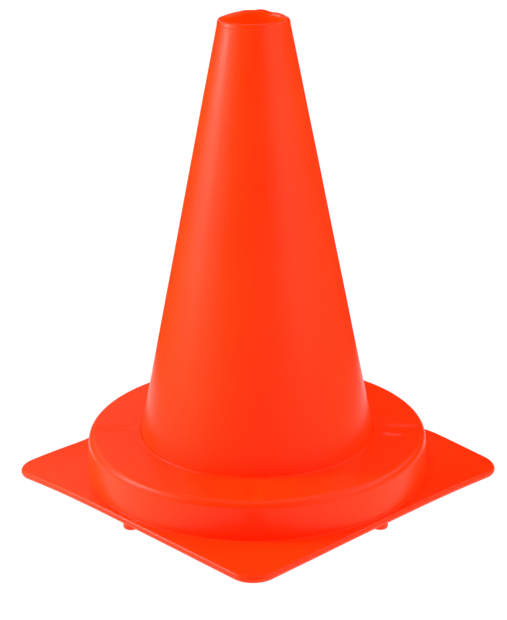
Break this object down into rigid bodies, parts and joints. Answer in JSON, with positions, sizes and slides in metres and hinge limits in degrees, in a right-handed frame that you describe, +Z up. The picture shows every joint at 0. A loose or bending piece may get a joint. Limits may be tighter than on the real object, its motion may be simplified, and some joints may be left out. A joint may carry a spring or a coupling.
{
  "type": "traffic cone",
  "caption": "Small orange safety cone: a hollow tapered sleeve open at the top, standing in a square base with a raised round collar and low moulded feet.",
  "frame": {"origin": "on the floor, under the axis of the cone", "axes": "+Z up along the axis of the cone; the sides of the square base lie along X and Y"},
  "size_m": [0.23, 0.23, 0.305],
  "materials": {
    "cone_plastic": "satin fluorescent red-orange soft PVC"
  },
  "bodies": {
    "root": {"cone_sleeve": "cone_plastic", "base": "cone_plastic"}
  },
  "joints": []
}
